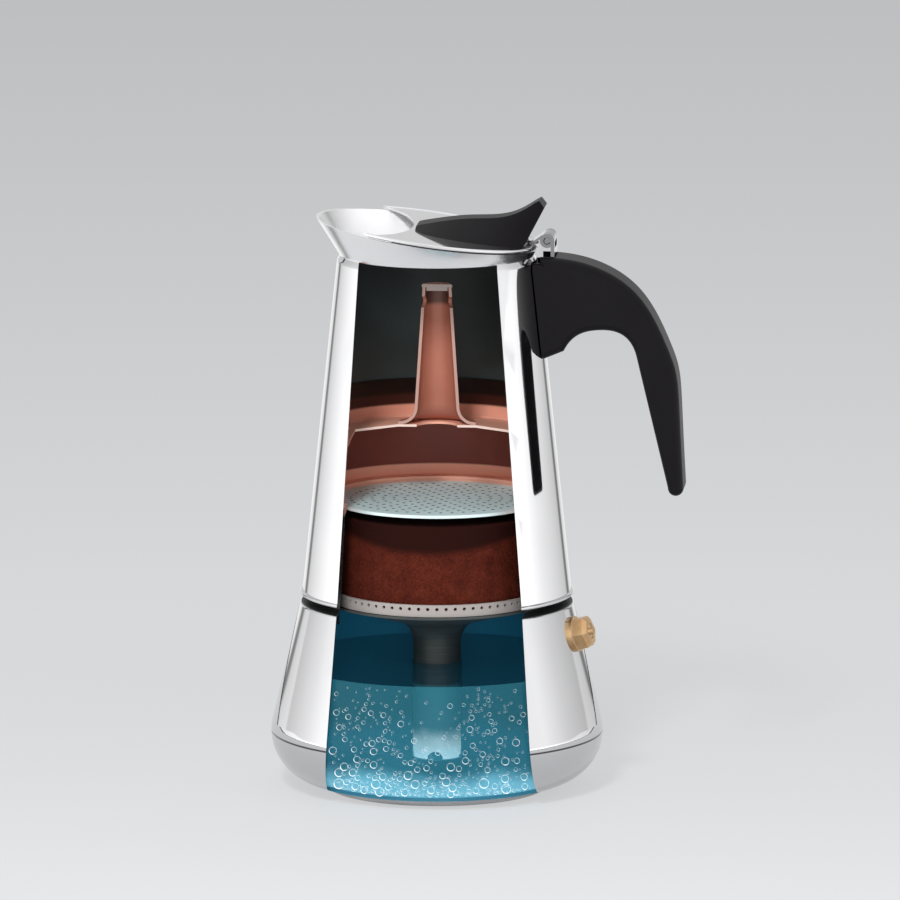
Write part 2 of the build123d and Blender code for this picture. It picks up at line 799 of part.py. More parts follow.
# Handle: a moulded grip whose hollow root slides over the bracket
with BuildPart() as handle:
    with BuildSketch(Plane.XZ):
        with BuildLine():
            handle_root = rim_rear + handle_collar_gap
            tail_outer = handle_point(handle_tail_reach, handle_tail_depth - handle_tail_width / 2)
            tail_end = handle_point(handle_tail_reach - handle_tail_width / 2, handle_tail_depth)
            tail_inner = (tail_outer[0] - handle_tail_width, tail_outer[1])
            foot_height = handle_top - handle_foot_depth
            Spline(
                (handle_root, handle_top),
                handle_point(handle_crown_reach, handle_crown_depth),
                handle_point(handle_shoulder_reach, handle_shoulder_depth),
                handle_point(handle_knee_reach, handle_knee_depth),
                tail_outer,
                tangents=[handle_root_aim, handle_tail_aim],
            )
            ThreePointArc(tail_outer, tail_end, tail_inner)
            Line(tail_inner, handle_point(handle_palm_reach, handle_palm_depth))
            Spline(
                handle_point(handle_palm_reach, handle_palm_depth),
                handle_point(handle_arch_reach, handle_arch_depth),
                handle_point(handle_heel_reach, handle_heel_depth),
                tangents=[handle_palm_aim, handle_heel_aim],
            )
            Polyline(
                handle_point(handle_heel_reach, handle_heel_depth),
                (vessel_side(foot_height) - handle_root_sink, foot_height),
                (vessel_side(cone_top) - handle_root_sink, cone_top),
                (handle_root, cone_top),
                (handle_root, handle_top),
            )
        make_face()
    extrude(amount=handle_half_width, both=True)
    fillet(handle.faces().filter_by(Axis.Y).edges(), radius=handle_edge_fillet)
    with BuildSketch(Plane.XZ):
        with BuildLine():
            Polyline(
                (0, vessel_bottom),
                (vessel_radius + fit_gap, vessel_bottom),
                (vessel_side(cone_top) + fit_gap, cone_top),
                (vessel_side(cone_top) + fit_gap, crease_height),
                (handle_root, crease_height),
                (handle_root, handle_top + cut_overshoot),
                (0, handle_top + cut_overshoot),
                close=True,
            )
        make_face()
    revolve(axis=Axis.Z, mode=Mode.SUBTRACT)
    with BuildSketch(Plane.XZ):
        with BuildLine():
            Polyline(
                (0, crease_height - bracket_foot_bottom - fit_gap),
                (strap_outer + fit_gap, crease_height - bracket_foot_bottom - fit_gap),
                (strap_outer + fit_gap, crease_height - tongue_bottom - fit_gap),
                (strap_outer + tongue_reach + fit_gap, crease_height - tongue_bottom - fit_gap),
                (strap_outer + tongue_reach + fit_gap, crease_height - tongue_top + fit_gap),
                (strap_outer + fit_gap, crease_height - tongue_top + fit_gap),
                (strap_outer + fit_gap, handle_top + cut_overshoot),
                (0, handle_top + cut_overshoot),
                close=True,
            )
        make_face()
    extrude(amount=bracket_half_width + fit_gap, both=True, mode=Mode.SUBTRACT)
    with BuildSketch(Plane.XY.offset(screw_seat_height)):
        with Locations((handle_screw_x, 0)):
            Circle(handle_screw_radius + fit_gap)
    extrude(amount=handle_screw_seat + fit_gap, mode=Mode.SUBTRACT)
    with BuildSketch(Plane.XY.offset(screw_seat_height)):
        with Locations((handle_screw_x, 0)):
            Circle(handle_screw_head_radius + fit_gap)
    extrude(amount=-handle_foot_depth, mode=Mode.SUBTRACT)

# Screw that clamps the handle to the bracket's tongue from below
with BuildPart() as handle_screw:
    with BuildSketch(Plane.XY.offset(screw_seat_height)):
        with Locations((handle_screw_x, 0)):
            Circle(handle_screw_radius)
    extrude(amount=handle_screw_seat + fit_gap + tongue_bottom - tongue_top)
    with BuildSketch(Plane.XY.offset(screw_seat_height)):
        with Locations((handle_screw_x, 0)):
            Circle(handle_screw_head_radius)
    extrude(amount=-handle_screw_head_height)
    fillet(handle_screw.edges().group_by(Axis.Z)[0], radius=handle_screw_head_height / 3)
    with BuildSketch(Plane.XY.offset(screw_seat_height - handle_screw_head_height)):
        with Locations((handle_screw_x, 0)):
            Rectangle(2 * handle_screw_head_radius, screw_slot_width)
            Rectangle(screw_slot_width, 2 * handle_screw_head_radius)
    extrude(amount=screw_slot_depth, mode=Mode.SUBTRACT)

# Places along the safety valve's axis, from the outside of the wall
valve_shank_end = -valve_shank_length
valve_bore_end = valve_shank_end + valve_seat_thickness
valve_hex_start = washer_thickness + valve_flange_thickness
valve_end = valve_hex_start + valve_hex_length
valve_cap_outer = valve_end - valve_cap_recess
valve_cap_inner = valve_cap_outer - valve_cap_thickness
plunger_shoulder = valve_bore_end + plunger_disc_thickness

# Valve body: shank, flange and hexagon, bored for the plunger and the spring
with BuildPart() as valve_body:
    with BuildSketch(valve_plane.offset(valve_shank_end)):
        Circle(valve_shank_radius)
    extrude(amount=washer_thickness - valve_shank_end)
    with BuildSketch(valve_plane.offset(valve_hex_start)):
        RegularPolygon(valve_hex_across_flats / 2, side_count=6, major_radius=False)
    extrude(amount=valve_hex_length)
    hexagon_end = valve_body.faces().sort_by(Axis(valve_plane.origin, valve_plane.z_dir))[-1]
    chamfer(hexagon_end.edges(), length=valve_hex_chamfer)
    with BuildSketch(valve_plane.offset(washer_thickness)):
        Circle(valve_flange_radius)
    extrude(amount=valve_flange_thickness)
    with BuildSketch(valve_plane.offset(valve_bore_end)):
        Circle(valve_bore_radius)
    extrude(amount=valve_end - valve_bore_end, mode=Mode.SUBTRACT)
    with BuildSketch(valve_plane.offset(valve_shank_end)):
        Circle(valve_seat_radius)
    extrude(amount=valve_seat_thickness, mode=Mode.SUBTRACT)

# Washer between the valve's flange and the wall
with BuildPart() as valve_washer:
    with BuildSketch(valve_plane):
        Circle(valve_flange_radius)
        Circle(valve_shank_radius, mode=Mode.SUBTRACT)
    extrude(amount=washer_thickness)

# Nut on the shank, inside the boiler
with BuildPart() as valve_nut:
    with BuildSketch(valve_plane.offset(-sheet - nut_standoff)):
        RegularPolygon(nut_across_flats / 2, side_count=6, major_radius=False)
        Circle(valve_shank_radius, mode=Mode.SUBTRACT)
    extrude(amount=-nut_thickness)

# Ring at the outer end of the bore, which holds the spring and guides the plunger
with BuildPart() as valve_cap:
    with BuildSketch(valve_plane.offset(valve_cap_inner)):
        Circle(valve_bore_radius)
        Circle(plunger_stem_radius + running_gap, mode=Mode.SUBTRACT)
    extrude(amount=valve_cap_thickness)

# Plunger: nose in the seat, disc on it and a stem that shows at the outer end
with BuildPart() as valve_plunger:
    with BuildSketch(valve_plane.offset(valve_shank_end)):
        Circle(valve_seat_radius - fit_gap)
    extrude(amount=valve_seat_thickness)
    with BuildSketch(valve_plane.offset(valve_bore_end)):
        Circle(valve_bore_radius - fit_gap)
    extrude(amount=plunger_disc_thickness)
    with BuildSketch(valve_plane.offset(plunger_shoulder)):
        Circle(plunger_stem_radius)
    extrude(amount=valve_end + plunger_reach - plunger_shoulder)

# Spring between the plunger's disc and the cap
with BuildPart() as valve_spring:
    spring_radius = (plunger_stem_radius + valve_bore_radius) / 2
    spring_length = valve_cap_inner - plunger_shoulder - 2 * spring_wire_radius
    spring_base = valve_plane.offset(plunger_shoulder + spring_wire_radius)
    with BuildLine() as spring_helix:
        Helix(
            pitch=spring_length / spring_turns,
            height=spring_length,
            radius=spring_radius,
            center=spring_base.origin,
            direction=spring_base.z_dir,
        )
    with BuildSketch(Plane(origin=spring_helix.line @ 0, z_dir=spring_helix.line % 0)):
        Circle(spring_wire_radius)
    sweep(path=spring_helix.line, is_frenet=True)

# One file for each piece
nodes = {
    "boiler_shell": boiler_shell,
    "base_plate": base_plate,
    "boiler_neck": boiler_neck,
    "funnel": funnel,
    "funnel_sieve": funnel_sieve,
    "coffee_bed": coffee_bed,
    "water_fill": water_fill,
    "valve_body": valve_body,
    "valve_washer": valve_washer,
    "valve_nut": valve_nut,
    "valve_cap": valve_cap,
    "valve_spring": valve_spring,
    "valve_plunger": valve_plunger,
    "gasket": gasket,
    "filter_plate": filter_plate,
    "vessel_shell": vessel_shell,
    "spout_collar": spout_collar,
    "thread_ring": thread_ring,
    "collector": collector,
    "column": column,
    "column_cap": column_cap,
    "hinge_bracket": hinge_bracket,
    "hinge_pin": hinge_pin,
    "handle": handle,
    "handle_screw": handle_screw,
    "lid_plate": lid_plate,
    "lid_hinge_leaf": lid_hinge_leaf,
    "lid_grip": lid_grip,
    "grip_screws": grip_screws,
}
os.makedirs("parts", exist_ok=True)
for node_name, piece in nodes.items():
    piece.part.label = node_name
    export_step(piece.part, f"parts/{node_name}.step")
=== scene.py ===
"""Looks of the sectioned moka pot: finishes, bubbles, floor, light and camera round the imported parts."""

from math import cos, pi, radians, sin
from random import Random

import bmesh
import bpy
from mathutils import Matrix, Vector


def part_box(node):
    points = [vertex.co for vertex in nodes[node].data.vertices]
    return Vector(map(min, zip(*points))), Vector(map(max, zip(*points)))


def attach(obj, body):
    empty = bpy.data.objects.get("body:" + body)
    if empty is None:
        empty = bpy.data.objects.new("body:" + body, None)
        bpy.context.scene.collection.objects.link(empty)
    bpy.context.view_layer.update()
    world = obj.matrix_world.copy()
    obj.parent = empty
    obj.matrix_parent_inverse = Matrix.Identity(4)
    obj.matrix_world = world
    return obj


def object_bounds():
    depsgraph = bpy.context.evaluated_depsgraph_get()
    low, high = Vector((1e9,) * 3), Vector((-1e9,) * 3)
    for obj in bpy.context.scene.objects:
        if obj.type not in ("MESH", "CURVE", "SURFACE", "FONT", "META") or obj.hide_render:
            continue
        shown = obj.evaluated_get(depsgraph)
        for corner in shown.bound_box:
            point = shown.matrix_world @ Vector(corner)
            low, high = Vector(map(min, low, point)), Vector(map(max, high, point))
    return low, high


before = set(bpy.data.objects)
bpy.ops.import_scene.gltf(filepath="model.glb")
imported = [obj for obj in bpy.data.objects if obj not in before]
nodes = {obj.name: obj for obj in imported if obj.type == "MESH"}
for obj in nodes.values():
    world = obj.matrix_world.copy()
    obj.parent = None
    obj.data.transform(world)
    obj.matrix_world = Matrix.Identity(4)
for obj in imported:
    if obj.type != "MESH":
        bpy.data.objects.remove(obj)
cad_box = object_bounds()
scene = bpy.context.scene
scene.view_settings.view_transform = "Standard"

# Camera: the photograph's scale at the pot's axis, where the axis stands in it and the viewing angle
photo_size = 900
pixels_per_metre = 3000.0
axis_column = 437.0
base_row = 786.0
camera_azimuth = radians(5)
camera_elevation = radians(9.5)
camera_lens = 400.0
camera_sensor = 36.0

# Directions seen from the pot: towards the camera's side and to its right
front = Vector((sin(camera_azimuth), -cos(camera_azimuth), 0))
right = Vector((cos(camera_azimuth), sin(camera_azimuth), 0))

# Heights and radii that finishes follow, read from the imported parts
floor_of_water, top_of_water = (corner.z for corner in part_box("water_fill"))
bottom_of_collector, top_of_collector = (corner.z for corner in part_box("collector"))
bottom_of_column, top_of_column = (corner.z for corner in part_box("column"))
bottom_of_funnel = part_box("funnel")[0].z
top_of_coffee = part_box("coffee_bed")[1].z
top_of_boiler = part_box("boiler_shell")[1].z
top_of_pot = cad_box[1][2]
filter_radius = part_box("filter_plate")[1].x
sieve_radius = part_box("funnel_sieve")[1].x
coffee_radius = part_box("coffee_bed")[1].x

# Other places that finishes follow, in metres
hairline = 2e-4
window_depth = -0.007
pan_height = 0.007
# Height of the belly's crease, along which a dark reflection is painted
belly_crease = 0.0192
# Where the painted reflection inside the collar's mouth starts along X, and how far painted inside light and
# shade drifts up and down
mouth_painted_from = -0.030
inside_painted_drift = 0.012
stem_wet_below = top_of_water - 0.0076
plate_rim = 0.0009
coffee_shadow = 0.00925
coffee_shadow_bow = 0.006

# Painted shade on the copper-toned pieces: how far each band lies from the edge that it follows
painted_shade_under_floor = 0.00325
painted_shade_over_seat = 0.0044
painted_brown_shade_band = 0.0090
painted_black_shadow_band = 0.0053
painted_head_shade_band = 0.0060
collector_wall_from = 0.020

# Bounds that leave the whole pot on one side
left_of_pot = -1.0
above_pot = 1.0

# Sockets of a colour mix, which share their names with those of the node's other kinds of data
mix_share, mix_first, mix_second, mix_result = 0, 6, 7, 2


def rgb(red, green, blue):
    """An opaque colour."""
    return (red, green, blue, 1.0)


def grey(level):
    """An opaque grey."""
    return rgb(level, level, level)


def shade(colour, share):
    """A colour darkened to a share of its brightness."""
    return rgb(*(share * part for part in colour[:3]))


class Nodes:
    """A node tree in the making, with a short method for each kind of node that the looks use."""

    def __init__(self, tree, place):
        self.nodes = tree.nodes
        self.links = tree.links
        self.coordinates = self.nodes.new("ShaderNodeTexCoord").outputs
        self.place = self.coordinates[place]

    def feed(self, socket, value):
        """Link an output to this input, or give the input a constant."""
        if isinstance(value, bpy.types.NodeSocket):
            self.links.new(value, socket)
        else:
            socket.default_value = value

    def output(self, kind, name):
        """One output of a new node that has no inputs."""
        return self.nodes.new(kind).outputs[name]

    def math(self, operation, a, b=0.0):
        """One operation on a number, or on two."""
        node = self.nodes.new("ShaderNodeMath")
        node.operation = operation
        self.feed(node.inputs[0], a)
        self.feed(node.inputs[1], b)
        return node.outputs[0]

    def both(self, a, b):
        """The share in which two shares hold together."""
        return self.math("MULTIPLY", a, b)

    def rest(self, share):
        """What a share leaves of 1."""
        return self.math("SUBTRACT", 1.0, share)

    def vector(self, operation, a, b=(0.0, 0.0, 0.0)):
        """One operation on a vector, or on two; a dot product or a length comes out as a number."""
        node = self.nodes.new("ShaderNodeVectorMath")
        node.operation = operation
        self.feed(node.inputs[0], a)
        self.feed(node.inputs[1], b)
        return node.outputs["Value" if operation in ("DOT_PRODUCT", "LENGTH") else "Vector"]

    def split(self, vector):
        """The three parts of a vector."""
        node = self.nodes.new("ShaderNodeSeparateXYZ")
        self.feed(node.inputs[0], vector)
        return node.outputs

    def step(self, value, low, high):
        """0 at low and 1 at high, smooth between them; low may be the larger."""
        node = self.nodes.new("ShaderNodeMapRange")
        node.interpolation_type = "SMOOTHSTEP"
        self.feed(node.inputs["Value"], value)
        node.inputs["From Min"].default_value = low
        node.inputs["From Max"].default_value = high
        return node.outputs["Result"]

    def past(self, value, edge, fade):
        """0 before an edge and 1 past it, with a smooth fade of this width across it."""
        return self.step(value, edge - fade / 2, edge + fade / 2)

    def before(self, value, edge, fade):
        """1 before an edge and 0 past it, with a smooth fade of this width across it."""
        return self.step(value, edge + fade / 2, edge - fade / 2)

    def scale(self, value, low, high):
        """A share from 0 to 1 spread evenly between low and high."""
        node = self.nodes.new("ShaderNodeMapRange")
        self.feed(node.inputs["Value"], value)
        node.inputs["To Min"].default_value = low
        node.inputs["To Max"].default_value = high
        return node.outputs["Result"]

    def mix(self, share, a, b):
        """Colour a where the share is 0 and colour b where it is 1."""
        node = self.nodes.new("ShaderNodeMix")
        node.data_type = "RGBA"
        self.feed(node.inputs[mix_share], share)
        self.feed(node.inputs[mix_first], a)
        self.feed(node.inputs[mix_second], b)
        return node.outputs[mix_result]

    def ramp(self, value, stops):
        """Colours along a value, from (place, colour) pairs in rising order."""
        node = self.nodes.new("ShaderNodeValToRGB")
        self.feed(node.inputs[0], value)
        elements = node.color_ramp.elements
        while len(elements) < len(stops):
            elements.new(1.0)
        for element, (place, colour) in zip(elements, stops):
            element.position = place
            element.color = colour
        return node.outputs[0]

    def levels(self, value, stops):
        """Greys along a value, from (place, level) pairs in rising order."""
        return self.ramp(value, [(place, grey(level)) for place, level in stops])


class Finish(Nodes):
    """A material in the making: its principled shader and the nodes that feed it."""

    def __init__(self, name, sockets):
        self.material = bpy.data.materials.new(name)
        self.material.use_nodes = True
        super().__init__(self.material.node_tree, "Object")
        self.normal = self.coordinates["Normal"]
        self.shader = self.nodes["Principled BSDF"]
        for socket, value in sockets.items():
            self.set(socket, value)

    def set(self, socket, value):
        """Feed one input of the principled shader."""
        self.feed(self.shader.inputs[socket], value)

    def noise(self, scale, detail=3.0, stretch=(1.0, 1.0, 1.0)):
        """Noise fixed to the piece, with its scale in features per metre."""
        node = self.nodes.new("ShaderNodeTexNoise")
        self.feed(node.inputs["Vector"], self.vector("MULTIPLY", self.place, stretch))
        node.inputs["Scale"].default_value = scale
        node.inputs["Detail"].default_value = detail
        return node.outputs[0]

    def bump(self, height, depth, strength=1.0):
        """Raise the surface by the height's share of a depth in metres."""
        node = self.nodes.new("ShaderNodeBump")
        self.feed(node.inputs["Height"], height)
        node.inputs["Distance"].default_value = depth
        node.inputs["Strength"].default_value = strength
        self.set("Normal", node.outputs[0])

    def height(self):
        """Height of the surface above the pot's base."""
        return self.split(self.place)[2]

    def flat_place(self):
        """The surface's place with its height taken out."""
        return self.vector("MULTIPLY", self.place, (1.0, 1.0, 0.0))

    def radius(self):
        """Distance of the surface from the pot's axis."""
        return self.vector("LENGTH", self.flat_place())

    def outwards(self):
        """How far the surface faces away from the pot's axis, from -1 to 1."""
        return self.vector("DOT_PRODUCT", self.normal, self.vector("NORMALIZE", self.flat_place()))

    def side_cut(self):
        """1 on the window's two side faces, where the sheet is cut through, and 0 elsewhere."""
        across = self.math("ABSOLUTE", self.split(self.normal)[1])
        depth = self.split(self.place)[1]
        return self.both(self.before(across, 0.04, 0.02), self.before(depth, window_depth, 0.002))

    def middle_cut(self):
        """1 on the faces that the section leaves in the pot's middle plane, and 0 elsewhere."""
        facing = self.step(self.split(self.normal)[1], -0.97, -0.995)
        depth = self.math("ABSOLUTE", self.split(self.place)[1])
        return self.both(facing, self.before(depth, 1.5 * hairline, hairline))


def inside_light_and_shade_mask(finish, inside_painted_from):
    """1 where light and shade are painted: on a shell's inside and on the boiler's inner floor, right of a
    place along X; 0 elsewhere.
    """
    wall = finish.both(finish.step(finish.outwards(), -0.2, -0.3), finish.rest(finish.side_cut()))
    level = finish.step(finish.split(finish.normal)[2], 0.7, 0.9)
    pan = finish.both(level, finish.before(finish.height(), pan_height, 0.002))
    painted_span = finish.past(finish.split(finish.place)[0], inside_painted_from, 0.014)
    return finish.both(finish.math("MAXIMUM", wall, pan), painted_span)


def inside_light_and_shade_colours(finish, inside_light_and_shade):
    """Painted light and shade inside a shell, by height, with clouds that drift up and down."""
    drift = finish.scale(finish.noise(25.0, 4.0), -inside_painted_drift, inside_painted_drift)
    height = finish.math("DIVIDE", finish.math("ADD", finish.height(), drift), top_of_pot)
    return finish.ramp(height, [(place / top_of_pot, colour) for place, colour in inside_light_and_shade])


def painted_crease_reflection(finish, crease):
    """1 on a thin line round the outside of a shell at this height, where a dark reflection is painted, and 0
    elsewhere.
    """
    away = finish.math("ABSOLUTE", finish.math("SUBTRACT", finish.height(), crease))
    outside = finish.step(finish.outwards(), 0.3, 0.5)
    return finish.both(finish.before(away, 1.5 * hairline, hairline), outside)


def polished_steel(
    name, dullness=0.0, tone=0.64, inside_light_and_shade=None, inside_painted_from=left_of_pot, painted_shade_above=above_pot, crease=None
):
    """Polished sheet with faint ripples; it may have painted light and shade inside, painted black shade
    along its upper rim and a painted dark reflection along a crease.
    """
    finish = Finish(name, {"Metallic": 1.0})
    haze = finish.noise(45.0)
    scuff = finish.scale(finish.noise(900.0, 5.0, (1.0, 1.0, 0.15)), 0.0, 0.03)
    roughness = finish.math("ADD", finish.scale(haze, 0.03 + dullness, 0.06 + dullness), scuff)
    colour = finish.mix(haze, rgb(tone, tone, tone + 0.01), rgb(tone + 0.05, tone + 0.05, tone + 0.06))
    # Inside: matte colours painted by height as light and shade; upper rim: black painted shade
    if inside_light_and_shade:
        inside = inside_light_and_shade_mask(finish, inside_painted_from)
        # Black painted shade on the boiler's flat top, in the gap under the upper vessel
        rim = finish.step(finish.height(), painted_shade_above - hairline, painted_shade_above)
        matte = finish.math("MAXIMUM", inside, rim)
        finish.set("Metallic", finish.rest(matte))
        roughness = finish.math("ADD", roughness, finish.math("MULTIPLY", matte, 0.45))
        colour = finish.mix(inside, colour, inside_light_and_shade_colours(finish, inside_light_and_shade))
        colour = finish.mix(rim, colour, rgb(0.008, 0.0085, 0.0095))
    if crease:
        # A thin dark reflection painted along the crease
        colour = finish.mix(painted_crease_reflection(finish, crease), colour, rgb(0.10, 0.10, 0.105))
    finish.set("Base Color", colour)
    finish.set("Roughness", roughness)
    finish.bump(finish.noise(28.0, 2.0), 0.00004, 0.5)
    return finish.material


def brushed_steel(name, metallic, dark, light, smooth, rough, relief):
    """Turned or brushed steel, with fine lines round the axis."""
    finish = Finish(name, {"Metallic": metallic})
    lines = finish.noise(60.0, 6.0, (1.0, 1.0, 60.0))
    finish.set("Base Color", finish.ramp(lines, [(0.25, dark), (0.75, light)]))
    finish.set("Roughness", finish.scale(lines, smooth, rough))
    finish.bump(lines, 0.00003, relief)
    return finish.material


def funnel_steel():
    """Dull grey funnel, blue in the water, with painted light that makes the stem's lower end bright and
    glowing.
    """
    finish = Finish("funnel_steel", {"Metallic": 0.3, "Emission Color": rgb(0.75, 0.96, 1.0)})
    lines = finish.noise(60.0, 6.0, (1.0, 1.0, 40.0))
    dry = finish.ramp(lines, [(0.3, rgb(0.040, 0.048, 0.047)), (0.7, rgb(0.064, 0.074, 0.073))])
    above_end = finish.math("SUBTRACT", finish.height(), bottom_of_funnel)
    sunk = finish.math("DIVIDE", above_end, top_of_water - bottom_of_funnel)
    sunk = finish.math("ADD", sunk, finish.scale(finish.noise(150.0, 3.0), -0.08, 0.08))
    # Blue in the water, with painted light that brightens it towards the stem's lower end
    wet = finish.ramp(
        sunk,
        [
            (0.0, rgb(0.90, 1.0, 1.0)),
            (0.18, rgb(0.78, 0.96, 1.0)),
            (0.34, rgb(0.16, 0.46, 0.56)),
            (1.0, rgb(0.06, 0.34, 0.43)),
        ],
    )
    in_water = finish.before(finish.height(), stem_wet_below, 0.0016)
    finish.set("Base Color", finish.mix(in_water, dry, wet))
    # Painted glow at the stem's lower end
    finish.set("Emission Strength", finish.scale(finish.step(sunk, 0.34, 0.10), 0.0, 0.7))
    finish.set("Roughness", finish.scale(lines, 0.42, 0.58))
    finish.bump(lines, 0.00002, 0.5)
    return finish.material


def sieve_steel(name, face, rim, rim_radius):
    """Satin perforated plate with painted shade in its holes, paler at its rim."""
    finish = Finish(name, {"Metallic": 0.2})
    grain = finish.noise(700.0, 4.0)
    cloud = finish.noise(35.0, 3.0)
    body = finish.ramp(cloud, [(0.3, shade(face, 0.85)), (0.7, face)])
    edge = finish.past(finish.radius(), rim_radius - plate_rim, 0.0006)
    # The holes' upright walls are painted near black as shade
    upright = finish.step(finish.math("ABSOLUTE", finish.split(finish.normal)[2]), 0.5, 0.3)
    hole = finish.both(upright, finish.rest(edge))
    finish.set("Base Color", finish.mix(hole, finish.mix(edge, body, rim), rgb(0.012, 0.016, 0.017)))
    finish.set("Roughness", finish.scale(grain, 0.34, 0.5))
    finish.bump(grain, 0.00002, 0.5)
    return finish.material


def copper_tone(name, dark, light, cut_colour):
    """Satin copper-toned metal, with painted shade in the space below its floor, along its upper edge and
    inside the column's head.
    """
    finish = Finish(name, {"Metallic": 0.1})
    cloud = finish.noise(40.0, 4.0)
    grain = finish.noise(1200.0, 3.0)
    height = finish.height()
    facing_in = finish.step(finish.outwards(), -0.6, -0.9)
    wide = finish.past(finish.radius(), collector_wall_from, 0.004)

    # Painted shade below the floor, dark bands of painted shadow along the upper edge, and painted shade
    # inside the column's head
    under_floor = finish.before(height, bottom_of_column - painted_shade_under_floor, 0.0025)
    over_seat = finish.past(height, bottom_of_collector + painted_shade_over_seat, 0.0008)
    shade_below_floor = finish.both(finish.both(finish.both(under_floor, over_seat), facing_in), wide)
    brown_shade = finish.both(finish.past(height, top_of_collector - painted_brown_shade_band, 0.0010), wide)
    black_shadow = finish.both(finish.past(height, top_of_collector - painted_black_shadow_band, 0.0014), wide)
    head_shade = finish.both(finish.past(height, top_of_column - painted_head_shade_band, 0.0020), facing_in)

    colour = finish.ramp(cloud, [(0.3, dark), (0.7, light)])
    # Colour of the painted shade below the floor
    below_floor_shade_colour = finish.ramp(cloud, [(0.3, rgb(0.150, 0.029, 0.019)), (0.7, rgb(0.205, 0.044, 0.030))])
    colour = finish.mix(shade_below_floor, colour, below_floor_shade_colour)
    colour = finish.mix(brown_shade, colour, rgb(0.048, 0.0130, 0.0085))
    colour = finish.mix(black_shadow, colour, rgb(0.006, 0.0030, 0.0020))
    colour = finish.mix(head_shade, colour, rgb(0.100, 0.038, 0.027))
    finish.set("Base Color", finish.mix(finish.middle_cut(), colour, cut_colour))
    finish.set("Roughness", finish.scale(grain, 0.40, 0.54))
    finish.bump(grain, 0.00002, 0.4)
    return finish.material


def black_nylon(name, gloss):
    """Moulded black plastic with a fine spark-eroded grain."""
    finish = Finish(name, {"Specular IOR Level": gloss})
    grain = finish.noise(2600.0, 3.0)
    cloud = finish.noise(60.0, 3.0)
    finish.set("Base Color", finish.mix(cloud, rgb(0.0036, 0.0030, 0.0038), rgb(0.0070, 0.0060, 0.0072)))
    finish.set("Roughness", finish.scale(grain, 0.34, 0.48))
    finish.bump(grain, 0.00003, 0.5)
    return finish.material


def valve_brass():
    """Machined brass, a little tarnished."""
    finish = Finish("valve_brass", {"Metallic": 1.0})
    cloud = finish.noise(160.0, 4.0)
    lines = finish.noise(900.0, 4.0, (0.2, 1.0, 1.0))
    colour = finish.ramp(cloud, [(0.3, rgb(0.50, 0.29, 0.135)), (0.7, rgb(0.74, 0.50, 0.27))])
    finish.set("Base Color", colour)
    finish.set("Roughness", finish.scale(lines, 0.22, 0.40))
    finish.bump(lines, 0.00003, 0.5)
    return finish.material


def seal_rubber():
    """Matte dusty-pink silicone."""
    finish = Finish("seal_rubber", {"Specular IOR Level": 0.3})
    grain = finish.noise(1500.0, 3.0)
    finish.set("Base Color", finish.mix(finish.noise(90.0), rgb(0.66, 0.32, 0.24), rgb(0.80, 0.42, 0.33)))
    finish.set("Roughness", finish.scale(grain, 0.6, 0.75))
    finish.bump(grain, 0.00003, 0.5)
    return finish.material


def ground_coffee():
    """Packed dark-brown grounds: grains of several browns, with a painted shadow under the filter's curved
    edge.
    """
    finish = Finish("ground_coffee", {"Specular IOR Level": 0.06})
    grain = finish.noise(1400.0, 4.0)
    clump = finish.noise(220.0, 4.0)
    brown = finish.ramp(
        finish.math("ADD", finish.math("MULTIPLY", grain, 0.6), finish.math("MULTIPLY", clump, 0.4)),
        [
            (0.36, rgb(0.046, 0.0095, 0.0058)),
            (0.5, rgb(0.080, 0.0145, 0.0082)),
            (0.64, rgb(0.110, 0.0215, 0.0122)),
        ],
    )
    across = finish.math("DIVIDE", finish.split(finish.place)[0], coffee_radius)
    bow = finish.math("MULTIPLY", finish.math("MULTIPLY", across, across), coffee_shadow_bow)
    bowed_height = finish.math("SUBTRACT", finish.height(), bow)
    shadow = finish.past(bowed_height, top_of_coffee - coffee_shadow, 0.0035)
    finish.set("Base Color", finish.mix(shadow, brown, rgb(0.020, 0.0052, 0.0040)))
    finish.set("Roughness", finish.scale(grain, 0.75, 0.95))
    finish.bump(grain, 0.00025, 0.7)
    return finish.material


def clear_water():
    """Blue-green water that the stem shows through, with painted light that makes it lighter and glow towards
    the bottom, and painted shade on its top surface.
    """
    finish = Finish("clear_water", {"IOR": 1.33, "Roughness": 0.06, "Specular IOR Level": 0.3})
    height = finish.math("SUBTRACT", finish.height(), floor_of_water)
    level = finish.math("DIVIDE", height, top_of_water - floor_of_water)
    level = finish.math("ADD", level, finish.scale(finish.noise(70.0, 3.0), -0.10, 0.10))
    # Lighter towards the bottom: painted light
    body = finish.ramp(
        level,
        [
            (0.0, rgb(0.16, 0.50, 0.66)),
            (0.16, rgb(0.13, 0.42, 0.55)),
            (0.32, rgb(0.018, 0.150, 0.205)),
            (1.0, rgb(0.018, 0.150, 0.205)),
        ],
    )
    # The top surface is painted dark as shade, with a faint painted glow
    surface = finish.step(finish.split(finish.normal)[2], 0.8, 0.95)
    finish.set("Base Color", finish.mix(surface, body, rgb(0.004, 0.035, 0.058)))
    finish.set("Emission Color", finish.mix(surface, rgb(0.16, 0.46, 0.58), rgb(0.05, 0.46, 0.75)))
    # A painted glow of light pooled near the bottom
    glow = finish.scale(finish.step(level, 0.30, 0.12), 0.0, 0.72)
    finish.set("Emission Strength", finish.math("ADD", glow, finish.math("MULTIPLY", surface, 0.05)))
    veil = finish.scale(surface, 0.62, 0.35)
    leaving = finish.output("ShaderNodeNewGeometry", "Backfacing")
    finish.set("Alpha", finish.both(veil, finish.rest(leaving)))
    finish.bump(finish.noise(55.0, 2.0), 0.0002, 0.25)
    return finish.material


